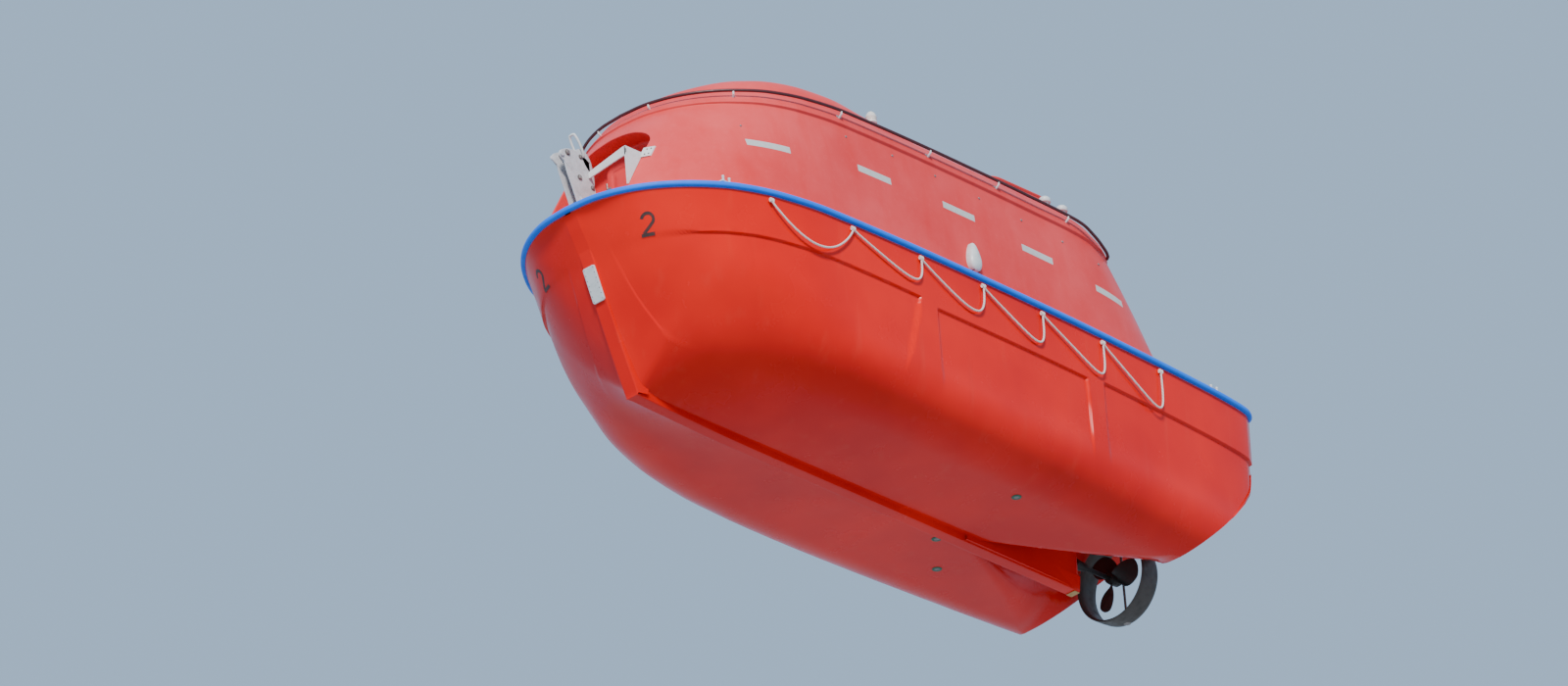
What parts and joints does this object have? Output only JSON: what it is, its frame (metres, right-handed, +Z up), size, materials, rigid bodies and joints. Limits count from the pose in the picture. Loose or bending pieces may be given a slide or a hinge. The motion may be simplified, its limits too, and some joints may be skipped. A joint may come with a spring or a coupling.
{
  "type": "enclosed lifeboat",
  "caption": "Totally enclosed lifeboat: moulded hull and canopy, gunwale fender, release hooks, hatches, cupola and a propeller in a steering nozzle.",
  "frame": {"origin": "on the centreline amidships at the laden waterline", "axes": "+Z up, +Y aft, +X to port"},
  "size_m": [2.5788, 6.8971, 3.423],
  "materials": {
    "hull_red": "glossy moulded glass-fibre",
    "canopy_red": "faded moulded glass-fibre",
    "fender_blue": "smooth",
    "glass": "clear",
    "nozzle_brown": "matt",
    "bronze_dark": "tarnished dark",
    "engine_grey": "satin",
    "rail_maroon": "satin",
    "plate_white": "satin",
    "steel_grey": "satin",
    "bracket_white": "satin",
    "rope_white": "laid rope"
  },
  "bodies": {
    "hull_body": {"hull": "hull_red", "canopy": "canopy_red", "gunwale_fender": "fender_blue", "cupola": "canopy_red", "cupola_glazing": "glass", "stern_tube": "bronze_dark", "engine": "engine_grey", "roof_rail": "rail_maroon", "vent_hood_port": "plate_white", "vent_hood_starboard": "plate_white", "roof_light": "plate_white", "roof_vent_fore": "plate_white", "roof_vent_aft": "plate_white", "stem_plate": "plate_white", "fore_hook_post": "steel_grey", "fore_hook_jaw": "steel_grey", "fore_link": "steel_grey", "hook_stay": "bracket_white", "aft_hook_post": "steel_grey", "aft_hook_jaw": "steel_grey", "aft_link": "steel_grey", "fairlead_fore_port": "steel_grey", "fairlead_fore_starboard": "steel_grey", "fairlead_aft_port": "steel_grey", "fairlead_aft_starboard": "steel_grey", "grab_line_port": "rope_white", "grab_line_starboard": "rope_white"},
    "propeller_body": {"propeller": "bronze_dark"},
    "nozzle_body": {"nozzle": "nozzle_brown"},
    "fore_hatch_body": {"fore_hatch": "canopy_red"},
    "aft_hatch_body": {"aft_hatch": "canopy_red"},
    "cupola_hatch_body": {"cupola_hatch": "canopy_red"}
  },
  "joints": [
    {"name": "propeller_spin", "type": "hinge", "parent": "hull_body", "child": "propeller_body", "pos_m": [0, 2.665, -0.43], "axis": [0, 1, 0], "continuous": true},
    {"name": "nozzle_steering", "type": "hinge", "parent": "hull_body", "child": "nozzle_body", "pos_m": [0, 2.785, -0.44], "axis": [0, 0, 1], "range_deg": [-30, 30]},
    {"name": "fore_hatch_hinge", "type": "hinge", "parent": "hull_body", "child": "fore_hatch_body", "pos_m": [-0.222, -2.6825, 1.2525], "axis": [0, 0, -1], "range_deg": [0, 95]},
    {"name": "aft_hatch_hinge", "type": "hinge", "parent": "hull_body", "child": "aft_hatch_body", "pos_m": [0, 2.18217, 1.75099], "axis": [1, 0, 0], "range_deg": [0, 80]},
    {"name": "cupola_hatch_hinge", "type": "hinge", "parent": "hull_body", "child": "cupola_hatch_body", "pos_m": [0, 1.762, 2.622], "axis": [-1, 0, 0], "range_deg": [0, 110]}
  ]
}
